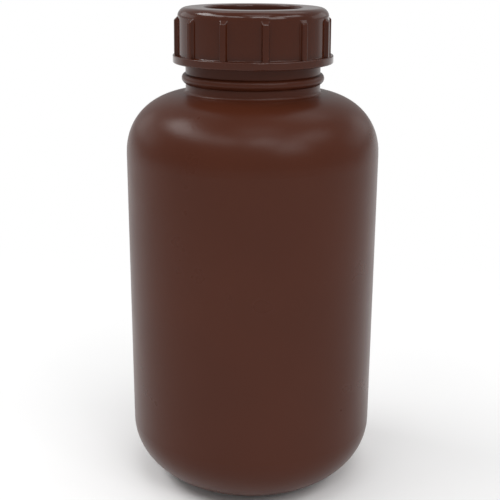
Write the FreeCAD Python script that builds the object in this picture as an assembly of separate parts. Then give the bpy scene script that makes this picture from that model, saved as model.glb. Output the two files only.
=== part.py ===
import FreeCAD, Part
import math
import os

# Wide-mouth screw-cap bottle of one litre, in millimetres.
# The frame stands at the middle of the foot, +Z up; the front of the bottle faces -Y.

# Body of the bottle
body_radius = 49.0
body_wall = 1.4
base_wall = 1.8
wall_height = 110.6
corner_width = 28.1        # radial size of the rounded base corner
corner_height = 24.2       # height of the whole ellipse that rounds the base corner
foot_cut = 0.2             # how much of that ellipse the flat foot takes off
foot_width = 4.4
push_up_height = 3.6       # hollow of the base at the middle
push_up_sag = 1.2          # how much lower the hollow is at its rim
push_up_slope = 2.0        # radial run of the step from the hollow down to the foot
hollow_round = 0.8
foot_round = 0.6
weld_inset = 3.0           # from each end of the base's weld line to the rim of the hollow
weld_width = 0.8
weld_height = 0.5

# Shoulder, a quarter of a superellipse
shoulder_tuck = 0.4        # from the bore's wall in to the top of the shoulder's curve
shoulder_height = 23.8
shoulder_power = 2.18
shoulder_wall = 1.6
shoulder_steps = 10

# Neck
neck_radius = 25.8
neck_height = 28.1         # from the top of the shoulder's curve to the rim
neck_wall = 2.4
root_round = 1.2
bore_round = 2.0
bead_rise = 5.3            # height of the bead's middle over the shoulder's curve
bead_height = 3.8
bead_reach = 1.5
bead_round = 0.35
rim_round = 0.5

# Thread, one start, right hand
thread_lead = 5.0
thread_depth = 1.2
thread_crest_width = 1.0
thread_root_width = 2.4
thread_flank_gap = 0.15    # between the flanks that carry the load when the cap is tight
thread_radial_gap = 0.4    # from each crest to the other piece's wall
neck_thread_turns = 2.0
cap_thread_turns = 1.5
thread_below_rim = 2.6     # from the rim down to the middle of the thread's upper end
cap_thread_start = 3.0     # from the cap's bottom edge up to the middle of its thread's lower end
thread_fade = 30.0         # degrees over which each end sinks into its wall
thread_end_depth = 0.15    # what is left of the thread's height at its very end
thread_sink = 0.3          # how deep the thread's foot reaches into its wall
thread_step = 15.0         # degrees from one section of the thread to the next
thread_stretch = 6         # steps in each of the stretches that the thread is made of

# Sealing ring
ring_thickness = 1.5
ring_lap = 0.3             # how far the ring reaches past the rim's outer edge
ring_gap = 0.3             # from the ring's hole to the cap's middle cup
ring_round = 0.25

# Screw cap
cap_height = 20.4
cap_top_wall = 2.0
skirt_wall = 1.2
skirt_draft = 0.5          # degrees, wider at the bottom
cap_corner_round = 3.5
channel_round = 1.2
cup_gap = 3.4              # from the outside of the cap's middle cup out to the bore
recess_depth = 5.0
recess_wall = 1.6
recess_draft = 3.0         # degrees, narrower at the bottom
recess_lip_round = 0.8
recess_floor_round = 1.2
cup_root_round = 0.5
cup_edge_round = 0.8
flange_height = 2.9
flange_reach = 2.0         # beyond the skirt's outside
flange_round = 0.4
entry_chamfer = 0.5

# Grip ribs of the cap
rib_count = 12
rib_first_angle = -81.5    # degrees from +X, so that one rib is 8.5 degrees right of the front
rib_reach = 1.4            # beyond the skirt's outside
rib_face_width = 2.2
rib_foot_width = 2.9       # between the flanks, without the spread of the foot
rib_foot_rise = 0.25       # how far out from the skirt the foot starts to spread
rib_foot_spread = 0.2      # how far it spreads on each side
rib_foot_round = 0.4
rib_top_drop = 3.3         # from the cap's top down to where a rib's sloped end meets the skirt
rib_end_slope = 42.0       # degrees by which that end falls outwards
rib_end_round = 1.2
rib_round = 0.55
rib_sink = 0.6

# Levels and radii that follow from the sizes above
corner_top = corner_height - foot_cut
wall_top = corner_top + wall_height
shoulder_top = wall_top + shoulder_height
rim_level = shoulder_top + neck_height
bead_level = shoulder_top + bead_rise
roof_level = rim_level + ring_thickness
cap_top = roof_level + cap_top_wall
cap_bottom = cap_top - cap_height
flange_top = cap_bottom + flange_height
recess_floor = cap_top - recess_depth
cup_bottom = recess_floor - recess_wall
corner_centre = body_radius - corner_width
bore_radius = neck_radius - neck_wall
shoulder_centre = bore_radius - shoulder_tuck
shoulder_width = body_radius - shoulder_centre
cup_radius = bore_radius - cup_gap
recess_radius = cup_radius - recess_wall
neck_crest = neck_radius + thread_depth
skirt_inner = neck_crest + thread_radial_gap
skirt_outer = skirt_inner + skirt_wall
thread_bottom = rim_level - thread_below_rim - neck_thread_turns * thread_lead
flank_slope = (thread_root_width - thread_crest_width) / 2 / thread_depth
foot_start = math.acos(1 - foot_cut / corner_height)
foot_outer = corner_centre + corner_width * math.sin(foot_start)
foot_inner = foot_outer - foot_width
hollow_edge = foot_inner - push_up_slope
hollow_level = push_up_height - push_up_sag


def point(radius, level):
    return FreeCAD.Vector(radius, 0, level)


def line(start, end):
    return Part.LineSegment(point(*start), point(*end)).toShape()


def arc(start, middle, end):
    return Part.Arc(point(*start), point(*middle), point(*end)).toShape()


def spin(edges):
    # turns a closed outline in the XZ plane about the upright axis
    face = Part.Face(Part.Wire(edges))
    return face.revolve(FreeCAD.Vector(0, 0, 0), FreeCAD.Vector(0, 0, 1), 360)


def rounded_outline(corners):
    # corners are (radius, level, rounding); returns the edges of the closed outline
    arcs = {}
    ends = []
    count = len(corners)
    for index in range(count):
        before = point(*corners[index - 1][:2])
        here = point(*corners[index][:2])
        after = point(*corners[(index + 1) % count][:2])
        rounding = corners[index][2]
        if rounding == 0:
            ends.append((here, here))
            continue
        back = (before - here).normalize()
        forth = (after - here).normalize()
        half = back.getAngle(forth) / 2
        reach = rounding / math.tan(half)
        centre = here + (back + forth).normalize() * (rounding / math.sin(half))
        first = here + back * reach
        last = here + forth * reach
        middle = centre + (here - centre).normalize() * rounding
        arcs[index] = Part.Arc(first, middle, last).toShape()
        ends.append((first, last))
    outline = []
    for index in range(count):
        if index in arcs:
            outline.append(arcs[index])
        start = ends[index][1]
        end = ends[(index + 1) % count][0]
        if start.distanceToPoint(end) > 1e-6:
            outline.append(Part.LineSegment(start, end).toShape())
    return outline


def ellipse_corner(width, height, first, last):
    # the part of a base corner's ellipse between two angles, counted from its lowest point
    def at(angle):
        return (corner_centre + width * math.sin(angle), corner_top - height * math.cos(angle))
    ellipse = Part.Ellipse(
        point(corner_centre + width, corner_top),
        point(corner_centre, corner_top - height),
        point(corner_centre, corner_top))
    low = ellipse.parameter(point(*at(first)))
    high = ellipse.parameter(point(*at(last)))
    if low > high:
        low, high = high, low
    return Part.ArcOfEllipse(ellipse, low, high).toShape()


def hollow_spot(radius, lift):
    # a point of the arched underside of the base, raised or lowered by lift
    bend = (hollow_edge ** 2 + push_up_sag ** 2) / (2 * push_up_sag)
    return (radius, push_up_height - bend + math.sqrt(bend ** 2 - radius ** 2) + lift)


def hollow_arc(first, last, lift):
    return arc(hollow_spot(first, lift), hollow_spot((first + last) / 2, lift), hollow_spot(last, lift))


def shoulder_level(radius, width, height):
    share = (radius - shoulder_centre) / width
    return wall_top + height * (1 - share ** shoulder_power) ** (1 / shoulder_power)


def shoulder_curve(width, height, end_radius):
    # the superellipse from the top of the wall inwards to a given radius
    end_share = (end_radius - shoulder_centre) / width
    end_angle = math.acos(end_share ** (shoulder_power / 2))
    points = []
    for step in range(shoulder_steps + 1):
        angle = end_angle * step / shoulder_steps
        radius = shoulder_centre + width * math.cos(angle) ** (2 / shoulder_power)
        level = wall_top + height * math.sin(angle) ** (2 / shoulder_power)
        points.append(point(radius, level))
    curve = Part.BSplineCurve()
    curve.interpolate(Points=points)
    return curve.toShape()


def ring_edges(shape, radius, level, room=0.02):
    # the round edges of a turned solid at one radius and level
    found = []
    for edge in shape.Edges:
        spot = edge.firstVertex().Point
        if abs(math.hypot(spot.x, spot.y) - radius) < room and abs(spot.z - level) < room:
            if edge.Curve.TypeId == "Part::GeomCircle":
                found.append(edge)
    return found


def helix_ridge(wall_radius, outward, start_level, start_turn, turns):
    # a thread ridge on a round wall; each end sinks gradually into the wall
    total = turns * 360.0
    sections = []
    steps = int(round(total / thread_step))
    for step in range(steps + 1):
        angle = total * step / steps
        to_end = min(angle, total - angle)
        share = min(1.0, to_end / thread_fade)
        smooth = share * share * (3 - 2 * share)
        depth = thread_end_depth + (thread_depth - thread_end_depth) * smooth
        crest_half = thread_crest_width / 2
        root_half = crest_half + flank_slope * (depth + thread_sink)
        crest = wall_radius + outward * depth
        root = wall_radius - outward * thread_sink
        level = start_level + thread_lead * angle / 360.0
        turn = FreeCAD.Rotation(FreeCAD.Vector(0, 0, 1), start_turn * 360.0 + angle)
        corners = [(root, level - root_half), (crest, level - crest_half),
                   (crest, level + crest_half), (root, level + root_half)]
        spots = [turn.multVec(point(*corner)) for corner in corners]
        sections.append(Part.makePolygon(spots + spots[:1]))
    stretches = []
    for first in range(0, steps, thread_stretch):
        stretches.append(Part.makeLoft(sections[first:first + thread_stretch + 1], True, False))
    return stretches[0].multiFuse(stretches[1:])


def neck_outside(low_end, high_end):
    # the neck with its bead, which runs into the neck in a small round above and below
    bulge = (bead_height ** 2 / 4 + bead_reach ** 2) / (2 * bead_reach)
    bulge_centre = neck_radius + bead_reach - bulge
    round_centre = neck_radius + bead_round
    reach = bulge + bead_round
    rise = math.sqrt(reach ** 2 - (round_centre - bulge_centre) ** 2)
    meet_radius = bulge_centre + (round_centre - bulge_centre) * bulge / reach
    meet_rise = rise * bulge / reach
    half_turn = math.atan2(rise, round_centre - bulge_centre) / 2
    middle_radius = round_centre - bead_round * math.cos(half_turn)
    middle_rise = rise - bead_round * math.sin(half_turn)
    return [
        line((neck_radius, low_end), (neck_radius, bead_level - rise)),
        arc((neck_radius, bead_level - rise), (middle_radius, bead_level - middle_rise),
            (meet_radius, bead_level - meet_rise)),
        arc((meet_radius, bead_level - meet_rise), (neck_radius + bead_reach, bead_level),
            (meet_radius, bead_level + meet_rise)),
        arc((meet_radius, bead_level + meet_rise), (middle_radius, bead_level + middle_rise),
            (neck_radius, bead_level + rise)),
        line((neck_radius, bead_level + rise), (neck_radius, high_end)),
    ]


def make_bottle():
    # outside, from the axis at the base to the rim
    root_level = shoulder_level(neck_radius, shoulder_width, shoulder_height)
    outside = [
        hollow_arc(0, hollow_edge, 0),
        line((hollow_edge, hollow_level), (foot_inner, 0)),
        line((foot_inner, 0), (foot_outer, 0)),
        ellipse_corner(corner_width, corner_height, foot_start, math.pi / 2),
        line((body_radius, corner_top), (body_radius, wall_top)),
        shoulder_curve(shoulder_width, shoulder_height, neck_radius),
        *neck_outside(root_level, rim_level),
        line((neck_radius, rim_level), (0, rim_level)),
        line((0, rim_level), (0, push_up_height)),
    ]
    body = spin(outside)

    # hollow inside, with a floor that follows the base
    inner_width = corner_width - body_wall
    inner_height = corner_height - base_wall
    inner_low = corner_top - inner_height
    inner_shoulder_width = shoulder_width - body_wall
    inner_shoulder_height = shoulder_height - shoulder_wall
    bore_low = shoulder_level(bore_radius, inner_shoulder_width, inner_shoulder_height)
    inner_radius = body_radius - body_wall
    inside = [
        hollow_arc(0, hollow_edge, base_wall),
        line((hollow_edge, hollow_level + base_wall), (corner_centre, inner_low)),
        ellipse_corner(inner_width, inner_height, 0, math.pi / 2),
        line((inner_radius, corner_top), (inner_radius, wall_top)),
        shoulder_curve(inner_shoulder_width, inner_shoulder_height, bore_radius),
        line((bore_radius, bore_low), (bore_radius, rim_level)),
        line((bore_radius, rim_level), (0, rim_level)),
        line((0, rim_level), (0, push_up_height + base_wall)),
    ]
    cavity = spin(inside)
    bottle = body.cut(cavity)

    # soft edges
    bottle = bottle.makeFillet(root_round, ring_edges(bottle, neck_radius, root_level))
    bottle = bottle.makeFillet(bore_round, ring_edges(bottle, bore_radius, bore_low))
    rim_edges = ring_edges(bottle, neck_radius, rim_level) + ring_edges(bottle, bore_radius, rim_level)
    bottle = bottle.makeFillet(rim_round, rim_edges)
    bottle = bottle.makeFillet(hollow_round, ring_edges(bottle, hollow_edge, hollow_level))
    bottle = bottle.makeFillet(foot_round, ring_edges(bottle, foot_inner, 0))

    # weld line across the hollow of the base, where the blown tube was pinched off
    weld_end = hollow_edge - weld_inset
    weld_root = base_wall / 2
    weld_side = [
        hollow_arc(-weld_end, weld_end, -weld_height),
        line(hollow_spot(weld_end, -weld_height), hollow_spot(weld_end, weld_root)),
        hollow_arc(weld_end, -weld_end, weld_root),
        line(hollow_spot(-weld_end, weld_root), hollow_spot(-weld_end, -weld_height)),
    ]
    weld = Part.Face(Part.Wire(weld_side)).extrude(FreeCAD.Vector(0, weld_width, 0))
    weld.translate(FreeCAD.Vector(0, -weld_width / 2, 0))

    thread = helix_ridge(neck_radius, 1, thread_bottom, 0.0, neck_thread_turns)
    return bottle.multiFuse([weld, thread])


def make_sealing_ring():
    inner = cup_radius + ring_gap
    outer = neck_radius + ring_lap
    return spin(rounded_outline([
        (inner, rim_level, ring_round),
        (outer, rim_level, ring_round),
        (outer, roof_level, ring_round),
        (inner, roof_level, ring_round),
    ]))


def rib(angle):
    # one grip rib: a bar that spreads at its foot, with a sloped and rounded upper end
    slope = math.tan(math.radians(skirt_draft))
    end_slope = math.tan(math.radians(rib_end_slope))
    low = cap_bottom + flange_height / 2
    meet = cap_top - rib_top_drop
    top_face = skirt_outer + rib_reach
    low_face = top_face + slope * (meet - low)
    inner = skirt_outer - rib_sink
    side = Part.Face(Part.Wire(rounded_outline([
        (inner, low, 0),
        (low_face, low, 0),
        (top_face, meet - end_slope * rib_reach, rib_end_round),
        (inner, meet + end_slope * rib_sink, 0),
    ])))
    bar = side.extrude(FreeCAD.Vector(0, 2 * rib_foot_width, 0))
    bar.translate(FreeCAD.Vector(0, -rib_foot_width, 0))
    rib_flank = (rib_foot_width - rib_face_width) / 2 / rib_reach
    outer_half = rib_face_width / 2 - rib_flank * (low_face - top_face)
    bend = skirt_outer + rib_foot_rise
    bend_half = rib_foot_width / 2 - rib_flank * rib_foot_rise
    foot_half = rib_foot_width / 2 + rib_foot_spread
    inner_half = foot_half + (foot_half - bend_half) / rib_foot_rise * rib_sink
    plan = Part.Face(Part.Wire(rounded_outline([
        (inner, -inner_half, 0),
        (bend, -bend_half, rib_foot_round),
        (low_face, -outer_half, 0),
        (low_face, outer_half, 0),
        (bend, bend_half, rib_foot_round),
        (inner, inner_half, 0),
    ])))
    post = plan.extrude(FreeCAD.Vector(0, cap_height, 0))
    post.rotate(FreeCAD.Vector(0, 0, 0), FreeCAD.Vector(1, 0, 0), 90)
    post.translate(FreeCAD.Vector(0, 0, low))
    piece = bar.common(post)

    # the long edges of the outer face; the rounding runs on over the end by itself
    long_edges = []
    for edge in piece.Edges:
        first, last = edge.firstVertex().Point, edge.lastVertex().Point
        on_face = min(first.x, last.x) > skirt_outer + rib_reach / 2
        if on_face and abs(first.z - last.z) > cap_height / 2:
            long_edges.append(edge)
    piece = piece.makeFillet(rib_round, long_edges)
    piece.rotate(FreeCAD.Vector(0, 0, 0), FreeCAD.Vector(0, 0, 1), angle)
    return piece


def make_cap():
    slope = math.tan(math.radians(skirt_draft))
    cup_slope = math.tan(math.radians(recess_draft))
    skirt_low = skirt_outer + slope * (cap_top - flange_top)
    flange_radius = skirt_outer + flange_reach
    shell = spin(rounded_outline([
        (0, recess_floor, 0),
        (recess_radius - cup_slope * recess_depth, recess_floor, recess_floor_round),
        (recess_radius, cap_top, recess_lip_round),
        (skirt_outer, cap_top, cap_corner_round),
        (skirt_low, flange_top, flange_round),
        (flange_radius, flange_top, flange_round),
        (flange_radius, cap_bottom, flange_round),
        (skirt_inner + entry_chamfer, cap_bottom, 0),
        (skirt_inner, cap_bottom + entry_chamfer, 0),
        (skirt_inner, roof_level, channel_round),
        (cup_radius, roof_level, cup_root_round),
        (cup_radius - cup_slope * (roof_level - cup_bottom), cup_bottom, cup_edge_round),
        (0, cup_bottom, 0),
    ]))
    pieces = [rib(rib_first_angle + 360.0 * index / rib_count) for index in range(rib_count)]

    # the cap's thread lies under the neck's, a small gap from the flank that carries the load
    drop = thread_crest_width + flank_slope * (thread_depth - thread_radial_gap) + thread_flank_gap
    start_level = cap_bottom + cap_thread_start
    start_turn = (start_level + drop - thread_bottom) / thread_lead
    pieces.append(helix_ridge(skirt_inner, -1, start_level, start_turn, cap_thread_turns))
    return shell.multiFuse(pieces)


def save(shape, name):
    shape.exportStep("parts/%s.step" % name)
    print("%s: %d solid, valid %s, volume %.1f mm3" % (
        name, len(shape.Solids), shape.isValid(), shape.Volume))


os.makedirs("parts", exist_ok=True)
save(make_bottle(), "bottle")
save(make_sealing_ring(), "sealing_ring")
save(make_cap(), "screw_cap")
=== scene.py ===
import math

import bpy
from mathutils import Matrix, Vector

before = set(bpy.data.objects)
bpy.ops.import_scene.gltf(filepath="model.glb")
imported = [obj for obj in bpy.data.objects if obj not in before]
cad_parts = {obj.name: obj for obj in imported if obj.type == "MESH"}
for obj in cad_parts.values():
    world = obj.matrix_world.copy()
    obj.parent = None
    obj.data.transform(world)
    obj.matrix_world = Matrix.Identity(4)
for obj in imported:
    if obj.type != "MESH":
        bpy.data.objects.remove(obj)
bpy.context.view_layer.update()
print("frame loaded:", ", ".join(sorted(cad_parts)))

scene = bpy.context.scene
scene.view_settings.view_transform = "Standard"


# small helpers for node trees

def addNode(tree, kind, place, **values):
    node = tree.nodes.new(kind)
    node.location = place
    for name, value in values.items():
        setattr(node, name, value)
    return node


def setInputs(node, **values):
    # spaces in a socket's name are written as underscores
    for name, value in values.items():
        node.inputs[name.replace("_", " ")].default_value = value


def newGroup(name, inputs, outputs):
    tree = bpy.data.node_groups.new(name, "ShaderNodeTree")
    for label, kind, value in inputs:
        socket = tree.interface.new_socket(label, in_out="INPUT", socket_type=kind)
        if value is not None:
            socket.default_value = value
    for label, kind in outputs:
        tree.interface.new_socket(label, in_out="OUTPUT", socket_type=kind)
    start = addNode(tree, "NodeGroupInput", (-900, 0))
    end = addNode(tree, "NodeGroupOutput", (900, 0))
    return tree, start, end


def useGroup(tree, group, place, **values):
    node = addNode(tree, "ShaderNodeGroup", place, node_tree=group)
    setInputs(node, **values)
    return node


# effects shared by the plastics

def makeMouldGrain():
    # fine skin of a moulded face with a slow waviness under it, as a height from 0 to 1
    tree, start, end = newGroup(
        "mouldGrain",
        [("Vector", "NodeSocketVector", None), ("Grain Size", "NodeSocketFloat", 900.0),
         ("Wave Size", "NodeSocketFloat", 45.0), ("Wave Share", "NodeSocketFloat", 0.6)],
        [("Height", "NodeSocketFloat")])
    grain = addNode(tree, "ShaderNodeTexNoise", (-600, 150))
    setInputs(grain, Detail=3.0, Roughness=0.55)
    wave = addNode(tree, "ShaderNodeTexNoise", (-600, -150))
    setInputs(wave, Detail=1.0, Roughness=0.4)
    blend = addNode(tree, "ShaderNodeMix", (-200, 0), data_type="FLOAT")
    tree.links.new(start.outputs["Vector"], grain.inputs["Vector"])
    tree.links.new(start.outputs["Vector"], wave.inputs["Vector"])
    tree.links.new(start.outputs["Grain Size"], grain.inputs["Scale"])
    tree.links.new(start.outputs["Wave Size"], wave.inputs["Scale"])
    tree.links.new(start.outputs["Wave Share"], blend.inputs[0])
    tree.links.new(grain.outputs["Fac"], blend.inputs[2])
    tree.links.new(wave.outputs["Fac"], blend.inputs[3])
    tree.links.new(blend.outputs[0], end.inputs["Height"])
    return tree


def makeColourDrift():
    # pigment that isn't quite even: a colour between two near ones
    tree, start, end = newGroup(
        "colourDrift",
        [("Vector", "NodeSocketVector", None), ("Size", "NodeSocketFloat", 20.0),
         ("Dark", "NodeSocketColor", (0.05, 0.02, 0.01, 1.0)),
         ("Light", "NodeSocketColor", (0.07, 0.03, 0.02, 1.0))],
        [("Color", "NodeSocketColor")])
    drift = addNode(tree, "ShaderNodeTexNoise", (-600, 0))
    setInputs(drift, Detail=2.0, Roughness=0.5)
    spread = addNode(tree, "ShaderNodeMapRange", (-350, 0))
    setInputs(spread, From_Min=0.3, From_Max=0.7)
    blend = addNode(tree, "ShaderNodeMix", (0, 0), data_type="RGBA")
    tree.links.new(start.outputs["Vector"], drift.inputs["Vector"])
    tree.links.new(start.outputs["Size"], drift.inputs["Scale"])
    tree.links.new(drift.outputs["Fac"], spread.inputs["Value"])
    tree.links.new(spread.outputs["Result"], blend.inputs[0])
    tree.links.new(start.outputs["Dark"], blend.inputs[6])
    tree.links.new(start.outputs["Light"], blend.inputs[7])
    tree.links.new(blend.outputs[2], end.inputs["Color"])
    return tree


def makeFingerGloss():
    # patches that handling has polished or dulled: a roughness between two values
    tree, start, end = newGroup(
        "fingerGloss",
        [("Vector", "NodeSocketVector", None), ("Size", "NodeSocketFloat", 30.0),
         ("Smooth", "NodeSocketFloat", 0.3), ("Dull", "NodeSocketFloat", 0.4)],
        [("Roughness", "NodeSocketFloat")])
    patch = addNode(tree, "ShaderNodeTexNoise", (-600, 0))
    setInputs(patch, Detail=4.0, Roughness=0.6)
    spread = addNode(tree, "ShaderNodeMapRange", (-300, 0))
    setInputs(spread, From_Min=0.35, From_Max=0.65)
    tree.links.new(start.outputs["Vector"], patch.inputs["Vector"])
    tree.links.new(start.outputs["Size"], patch.inputs["Scale"])
    tree.links.new(patch.outputs["Fac"], spread.inputs["Value"])
    tree.links.new(start.outputs["Smooth"], spread.inputs["To Min"])
    tree.links.new(start.outputs["Dull"], spread.inputs["To Max"])
    tree.links.new(spread.outputs["Result"], end.inputs["Roughness"])
    return tree


def makePartingLine():
    # hairline ridge where the two halves of a mould met, in the plane y = 0, as a height from 0 to 1
    tree, start, end = newGroup(
        "partingLine",
        [("Vector", "NodeSocketVector", None), ("Half Width", "NodeSocketFloat", 0.0002)],
        [("Height", "NodeSocketFloat")])
    axes = addNode(tree, "ShaderNodeSeparateXYZ", (-600, 0))
    aside = addNode(tree, "ShaderNodeMath", (-400, 0), operation="ABSOLUTE")
    ridge = addNode(tree, "ShaderNodeMapRange", (-150, 0), interpolation_type="SMOOTHSTEP")
    setInputs(ridge, To_Min=1.0, To_Max=0.0)
    tree.links.new(start.outputs["Vector"], axes.inputs[0])
    tree.links.new(axes.outputs["Y"], aside.inputs[0])
    tree.links.new(aside.outputs[0], ridge.inputs["Value"])
    tree.links.new(start.outputs["Half Width"], ridge.inputs["From Max"])
    tree.links.new(ridge.outputs["Result"], end.inputs["Height"])
    return tree


def makeGateMark():
    # small round stub with a dimple where the melt entered, on the axis, as a height from 0 to 1
    tree, start, end = newGroup(
        "gateMark",
        [("Vector", "NodeSocketVector", None), ("Radius", "NodeSocketFloat", 0.0013),
         ("Flat Radius", "NodeSocketFloat", 0.001), ("Dimple Radius", "NodeSocketFloat", 0.0007)],
        [("Height", "NodeSocketFloat")])
    axes = addNode(tree, "ShaderNodeSeparateXYZ", (-750, 0))
    flat = addNode(tree, "ShaderNodeCombineXYZ", (-580, 0))
    reach = addNode(tree, "ShaderNodeVectorMath", (-420, 0), operation="LENGTH")
    stub = addNode(tree, "ShaderNodeMapRange", (-150, 120), interpolation_type="SMOOTHSTEP")
    setInputs(stub, To_Min=1.0, To_Max=0.0)
    dimple = addNode(tree, "ShaderNodeMapRange", (-150, -180), interpolation_type="SMOOTHSTEP")
    setInputs(dimple, To_Min=0.7, To_Max=0.0)
    height = addNode(tree, "ShaderNodeMath", (150, 0), operation="SUBTRACT")
    tree.links.new(start.outputs["Vector"], axes.inputs[0])
    tree.links.new(axes.outputs["X"], flat.inputs["X"])
    tree.links.new(axes.outputs["Y"], flat.inputs["Y"])
    tree.links.new(flat.outputs[0], reach.inputs[0])
    tree.links.new(reach.outputs["Value"], stub.inputs["Value"])
    tree.links.new(reach.outputs["Value"], dimple.inputs["Value"])
    tree.links.new(start.outputs["Flat Radius"], stub.inputs["From Min"])
    tree.links.new(start.outputs["Radius"], stub.inputs["From Max"])
    tree.links.new(start.outputs["Dimple Radius"], dimple.inputs["From Max"])
    tree.links.new(stub.outputs["Result"], height.inputs[0])
    tree.links.new(dimple.outputs["Result"], height.inputs[1])
    tree.links.new(height.outputs[0], end.inputs["Height"])
    return tree


mouldGrain = makeMouldGrain()
partingLine = makePartingLine()
gateMark = makeGateMark()
colourDrift = makeColourDrift()
fingerGloss = makeFingerGloss()
print("shared effects ready")


# the three plastics

def makePlastic(name, look, mark=None):
    # mark is a group that gives the height of one more moulding mark
    material = bpy.data.materials.new(name)
    material.use_nodes = True
    tree = material.node_tree
    tree.nodes.clear()
    place = addNode(tree, "ShaderNodeTexCoord", (-900, 0))
    shader = addNode(tree, "ShaderNodeBsdfPrincipled", (300, 0))
    setInputs(shader, IOR=look["ior"], Specular_IOR_Level=look["specular"])
    output = addNode(tree, "ShaderNodeOutputMaterial", (600, 0))
    colour = useGroup(tree, colourDrift, (-600, 250), Size=look["driftSize"],
                      Dark=(*look["darkColour"], 1.0), Light=(*look["lightColour"], 1.0))
    gloss = useGroup(tree, fingerGloss, (-600, 0), Size=look["glossSize"],
                     Smooth=look["smooth"], Dull=look["dull"])
    grain = useGroup(tree, mouldGrain, (-600, -250), Grain_Size=look["grainSize"],
                     Wave_Size=look["waveSize"], Wave_Share=look["waveShare"])
    bump = addNode(tree, "ShaderNodeBump", (-100, -250))
    setInputs(bump, Strength=look["bumpStrength"], Distance=look["bumpDistance"])
    groups = [colour, gloss, grain]
    if mark:
        raised = useGroup(tree, mark, (-600, -500), **look["mark"])
        groups.append(raised)
        markBump = addNode(tree, "ShaderNodeBump", (-300, -450))
        setInputs(markBump, Strength=1.0, Distance=look["markHeight"])
        tree.links.new(raised.outputs["Height"], markBump.inputs["Height"])
        tree.links.new(markBump.outputs["Normal"], bump.inputs["Normal"])
    for group in groups:
        tree.links.new(place.outputs["Object"], group.inputs["Vector"])
    tree.links.new(colour.outputs["Color"], shader.inputs["Base Color"])
    tree.links.new(gloss.outputs["Roughness"], shader.inputs["Roughness"])
    tree.links.new(grain.outputs["Height"], bump.inputs["Height"])
    tree.links.new(bump.outputs["Normal"], shader.inputs["Normal"])
    tree.links.new(shader.outputs["BSDF"], output.inputs["Surface"])
    return material


bottleLook = {
    "darkColour": (0.0590, 0.0150, 0.0069),
    "lightColour": (0.0650, 0.0166, 0.0077),
    "driftSize": 22.0,
    "smooth": 0.27,
    "dull": 0.33,
    "glossSize": 30.0,
    "ior": 1.5,
    "specular": 0.16,
    "grainSize": 1400.0,
    "waveSize": 60.0,
    "waveShare": 0.7,
    "bumpStrength": 0.25,
    "bumpDistance": 0.0003,
    "mark": {"Half_Width": 0.00025},
    "markHeight": 0.0001,
}
capLook = {
    "darkColour": (0.0450, 0.0085, 0.0018),
    "lightColour": (0.0500, 0.0094, 0.0022),
    "driftSize": 40.0,
    "smooth": 0.12,
    "dull": 0.16,
    "glossSize": 60.0,
    "ior": 1.5,
    "specular": 0.35,
    "grainSize": 2200.0,
    "waveSize": 110.0,
    "waveShare": 0.6,
    "bumpStrength": 0.12,
    "bumpDistance": 0.0002,
    "mark": {"Radius": 0.0013, "Flat_Radius": 0.001, "Dimple_Radius": 0.0007},
    "markHeight": 0.0002,
}
ringLook = {
    "darkColour": (0.66, 0.64, 0.58),
    "lightColour": (0.76, 0.74, 0.68),
    "driftSize": 180.0,
    "smooth": 0.6,
    "dull": 0.75,
    "glossSize": 120.0,
    "ior": 1.5,
    "specular": 0.4,
    "grainSize": 3500.0,
    "waveSize": 400.0,
    "waveShare": 0.3,
    "bumpStrength": 0.6,
    "bumpDistance": 0.0002,
}

bottlePlastic = makePlastic("bottlePlastic", bottleLook, partingLine)
capPlastic = makePlastic("capPlastic", capLook, gateMark)
ringFoam = makePlastic("ringFoam", ringLook)

for nodeName, material in (
        ("bottle", bottlePlastic), ("screw_cap", capPlastic), ("sealing_ring", ringFoam)):
    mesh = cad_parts[nodeName].data
    mesh.materials.clear()
    mesh.materials.append(material)
print("plastics ready")


# floor, backdrop and light

floorLook = {
    "halfSize": 9.0,
    "darkColour": (0.93, 0.93, 0.93),
    "lightColour": (0.95, 0.95, 0.95),
    "driftSize": 3.0,
    "fadeStart": 0.0,
    "fadeEnd": 0.25,
    "backdropSlant": 0.435,
    # painted light on the backdrop: the next four values make its emission brightest in its middle
    # and dimmer towards its sides
    "paintedLightInner": 0.3,
    "paintedLightOuter": 0.9,
    "paintedLightAside": 0.7,
    "paintedLightDepth": 0.39,
    "backdrop": (1.0, 1.0, 1.0),
    "roughness": 0.9,
    "specular": 0.1,
}


def makeFloor():
    half = floorLook["halfSize"]
    mesh = bpy.data.meshes.new("floor")
    corners = [(-half, -half, 0), (half, -half, 0), (half, half, 0), (-half, half, 0)]
    mesh.from_pydata(corners, [], [(0, 1, 2, 3)])
    floor = bpy.data.objects.new("floor", mesh)
    scene.collection.objects.link(floor)
    mesh.materials.append(makePaper())


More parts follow.
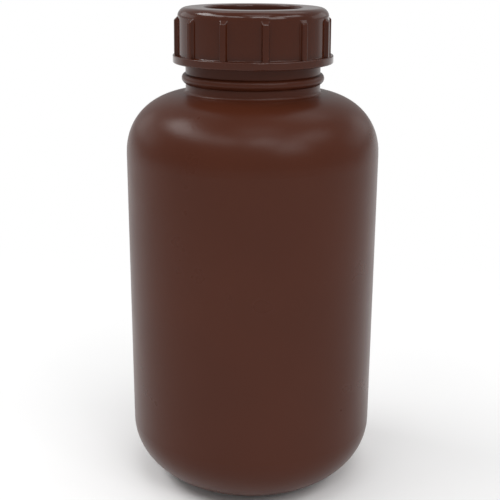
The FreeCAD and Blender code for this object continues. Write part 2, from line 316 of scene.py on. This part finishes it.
def makePaper():
    # pale paper that takes the bottle's shadow and fades to a plain white backdrop behind it,
    # which widens away from the bottle by the slant of its two sides; the backdrop's emission has
    # painted light in it, brightest in its middle and dimmer towards its sides
    material = bpy.data.materials.new("palePaper")
    material.use_nodes = True
    tree = material.node_tree
    tree.nodes.clear()
    place = addNode(tree, "ShaderNodeTexCoord", (-1100, 0))
    paper = addNode(tree, "ShaderNodeBsdfPrincipled", (0, 200))
    setInputs(paper, Roughness=floorLook["roughness"], Specular_IOR_Level=floorLook["specular"])
    backdrop = addNode(tree, "ShaderNodeEmission", (0, -250))
    setInputs(backdrop, Color=(*floorLook["backdrop"], 1.0), Strength=1.0)
    colour = useGroup(tree, colourDrift, (-400, 250), Size=floorLook["driftSize"],
                      Dark=(*floorLook["darkColour"], 1.0), Light=(*floorLook["lightColour"], 1.0))
    away = addNode(tree, "ShaderNodeSeparateXYZ", (-950, -100))
    aside = addNode(tree, "ShaderNodeMath", (-800, 0), operation="ABSOLUTE")
    slant = addNode(tree, "ShaderNodeMath", (-650, 0), operation="MULTIPLY")
    slant.inputs[1].default_value = floorLook["backdropSlant"]
    behind = addNode(tree, "ShaderNodeMath", (-650, -180), operation="SUBTRACT")
    fade = addNode(tree, "ShaderNodeMapRange", (-480, -100), interpolation_type="SMOOTHSTEP")
    setInputs(fade, From_Min=floorLook["fadeStart"], From_Max=floorLook["fadeEnd"])
    rays = addNode(tree, "ShaderNodeLightPath", (-1100, -350))
    seen = addNode(tree, "ShaderNodeMath", (-850, -350), operation="MAXIMUM")
    shown = addNode(tree, "ShaderNodeMath", (-600, -350), operation="MAXIMUM")
    # painted light: the backdrop's emission share is highest in its middle and falls towards its
    # sides
    depth = addNode(tree, "ShaderNodeMath", (-800, 250), operation="ADD")
    depth.inputs[1].default_value = floorLook["paintedLightDepth"]
    outward = addNode(tree, "ShaderNodeMath", (-650, 250), operation="DIVIDE")
    paintedLight = addNode(tree, "ShaderNodeMapRange", (-480, 150), interpolation_type="SMOOTHSTEP")
    setInputs(paintedLight, From_Min=floorLook["paintedLightInner"], From_Max=floorLook["paintedLightOuter"],
              To_Min=1.0, To_Max=floorLook["paintedLightAside"])
    paintedLightShare = addNode(tree, "ShaderNodeMath", (-300, 50), operation="MULTIPLY")
    share = addNode(tree, "ShaderNodeMath", (-150, -150), operation="MULTIPLY")
    mix = addNode(tree, "ShaderNodeMixShader", (350, 0))
    output = addNode(tree, "ShaderNodeOutputMaterial", (600, 0))
    tree.links.new(place.outputs["Object"], colour.inputs["Vector"])
    tree.links.new(place.outputs["Object"], away.inputs[0])
    tree.links.new(away.outputs["X"], aside.inputs[0])
    tree.links.new(aside.outputs[0], slant.inputs[0])
    tree.links.new(away.outputs["Y"], behind.inputs[0])
    tree.links.new(slant.outputs[0], behind.inputs[1])
    tree.links.new(behind.outputs[0], fade.inputs["Value"])
    tree.links.new(rays.outputs["Is Camera Ray"], seen.inputs[0])
    tree.links.new(rays.outputs["Is Glossy Ray"], seen.inputs[1])
    tree.links.new(seen.outputs[0], shown.inputs[0])
    tree.links.new(rays.outputs["Is Transmission Ray"], shown.inputs[1])
    tree.links.new(away.outputs["Y"], depth.inputs[0])
    tree.links.new(aside.outputs[0], outward.inputs[0])
    tree.links.new(depth.outputs[0], outward.inputs[1])
    tree.links.new(outward.outputs[0], paintedLight.inputs["Value"])
    tree.links.new(fade.outputs["Result"], paintedLightShare.inputs[0])
    tree.links.new(paintedLight.outputs["Result"], paintedLightShare.inputs[1])
    tree.links.new(paintedLightShare.outputs[0], share.inputs[0])
    tree.links.new(shown.outputs[0], share.inputs[1])
    tree.links.new(colour.outputs["Color"], paper.inputs["Base Color"])
    tree.links.new(share.outputs[0], mix.inputs[0])
    tree.links.new(paper.outputs["BSDF"], mix.inputs[1])
    tree.links.new(backdrop.outputs["Emission"], mix.inputs[2])
    tree.links.new(mix.outputs["Shader"], output.inputs["Surface"])
    return material


def direction(azimuth, elevation):
    # azimuth from the camera's side, positive to the right
    a, e = math.radians(azimuth), math.radians(elevation)
    return Vector((math.sin(a) * math.cos(e), -math.cos(a) * math.cos(e), math.sin(e)))


# each softbox: azimuth, elevation, width and height in metres, radiance
softboxes = {
    "keyLeft": (-103, 47, 0.55, 0.34, 6.9),
    "sideLeft": (-70, 48, 0.55, 0.30, 4.4),
    "frontLeft": (-33, 49, 0.48, 0.26, 3.9),
    "front": (12, 50, 0.46, 0.30, 5.9),
    "frontRight": (38, 36, 0.52, 0.40, 3.9),
    "rightHigh": (56, 48, 0.40, 0.26, 2.6),
    "sideRight": (78, 45, 0.46, 0.34, 2.6),
    "wingLeft": (-123, 18, 1.00, 0.42, 0.65),
    "wingRight": (123, 18, 1.00, 0.42, 0.55),
    "overheadFront": (15, 72, 0.60, 0.40, 1.4),
    "overheadBack": (165, 62, 1.20, 0.60, 0.9),
}
lampDistance = 1.3
aimPoint = Vector((0, 0, 0.12))
worldLook = {"colour": (1.0, 1.0, 1.0), "strength": 0.46}


def makeSoftbox(name, azimuth, elevation, width, height, radiance):
    lamp = bpy.data.lights.new(name, "AREA")
    lamp.shape = "RECTANGLE"
    lamp.size = width
    lamp.size_y = height
    lamp.energy = radiance * math.pi * width * height
    box = bpy.data.objects.new(name, lamp)
    box.visible_camera = False
    away = direction(azimuth, elevation)
    box.location = aimPoint + away * lampDistance
    box.rotation_euler = away.to_track_quat("Z", "Y").to_euler()
    scene.collection.objects.link(box)


makeFloor()
for boxName, values in softboxes.items():
    makeSoftbox(boxName, *values)

world = bpy.data.worlds.new("studio")
scene.world = world
world.use_nodes = True
background = world.node_tree.nodes["Background"]
background.inputs["Color"].default_value = (*worldLook["colour"], 1.0)
background.inputs["Strength"].default_value = worldLook["strength"]
print("floor and light ready")


# camera at the photograph's angle

cameraLook = {
    "place": (-0.000813, -0.38639, 0.21195),
    "pitchDown": 16.92,
    "roll": 0.28,
    "lens": 72.0,
    "sensor": 36.0,
    "nearest": 0.01,
    "farthest": 60.0,
}


def makeCamera():
    data = bpy.data.cameras.new("camera")
    data.lens = cameraLook["lens"]
    data.sensor_width = cameraLook["sensor"]
    data.clip_start = cameraLook["nearest"]
    data.clip_end = cameraLook["farthest"]
    camera = bpy.data.objects.new("camera", data)
    tilt = Matrix.Rotation(math.radians(90 - cameraLook["pitchDown"]), 4, "X")
    roll = Matrix.Rotation(math.radians(cameraLook["roll"]), 4, "Z")
    camera.matrix_world = Matrix.Translation(cameraLook["place"]) @ tilt @ roll
    scene.collection.objects.link(camera)
    scene.camera = camera


makeCamera()
print("camera ready")
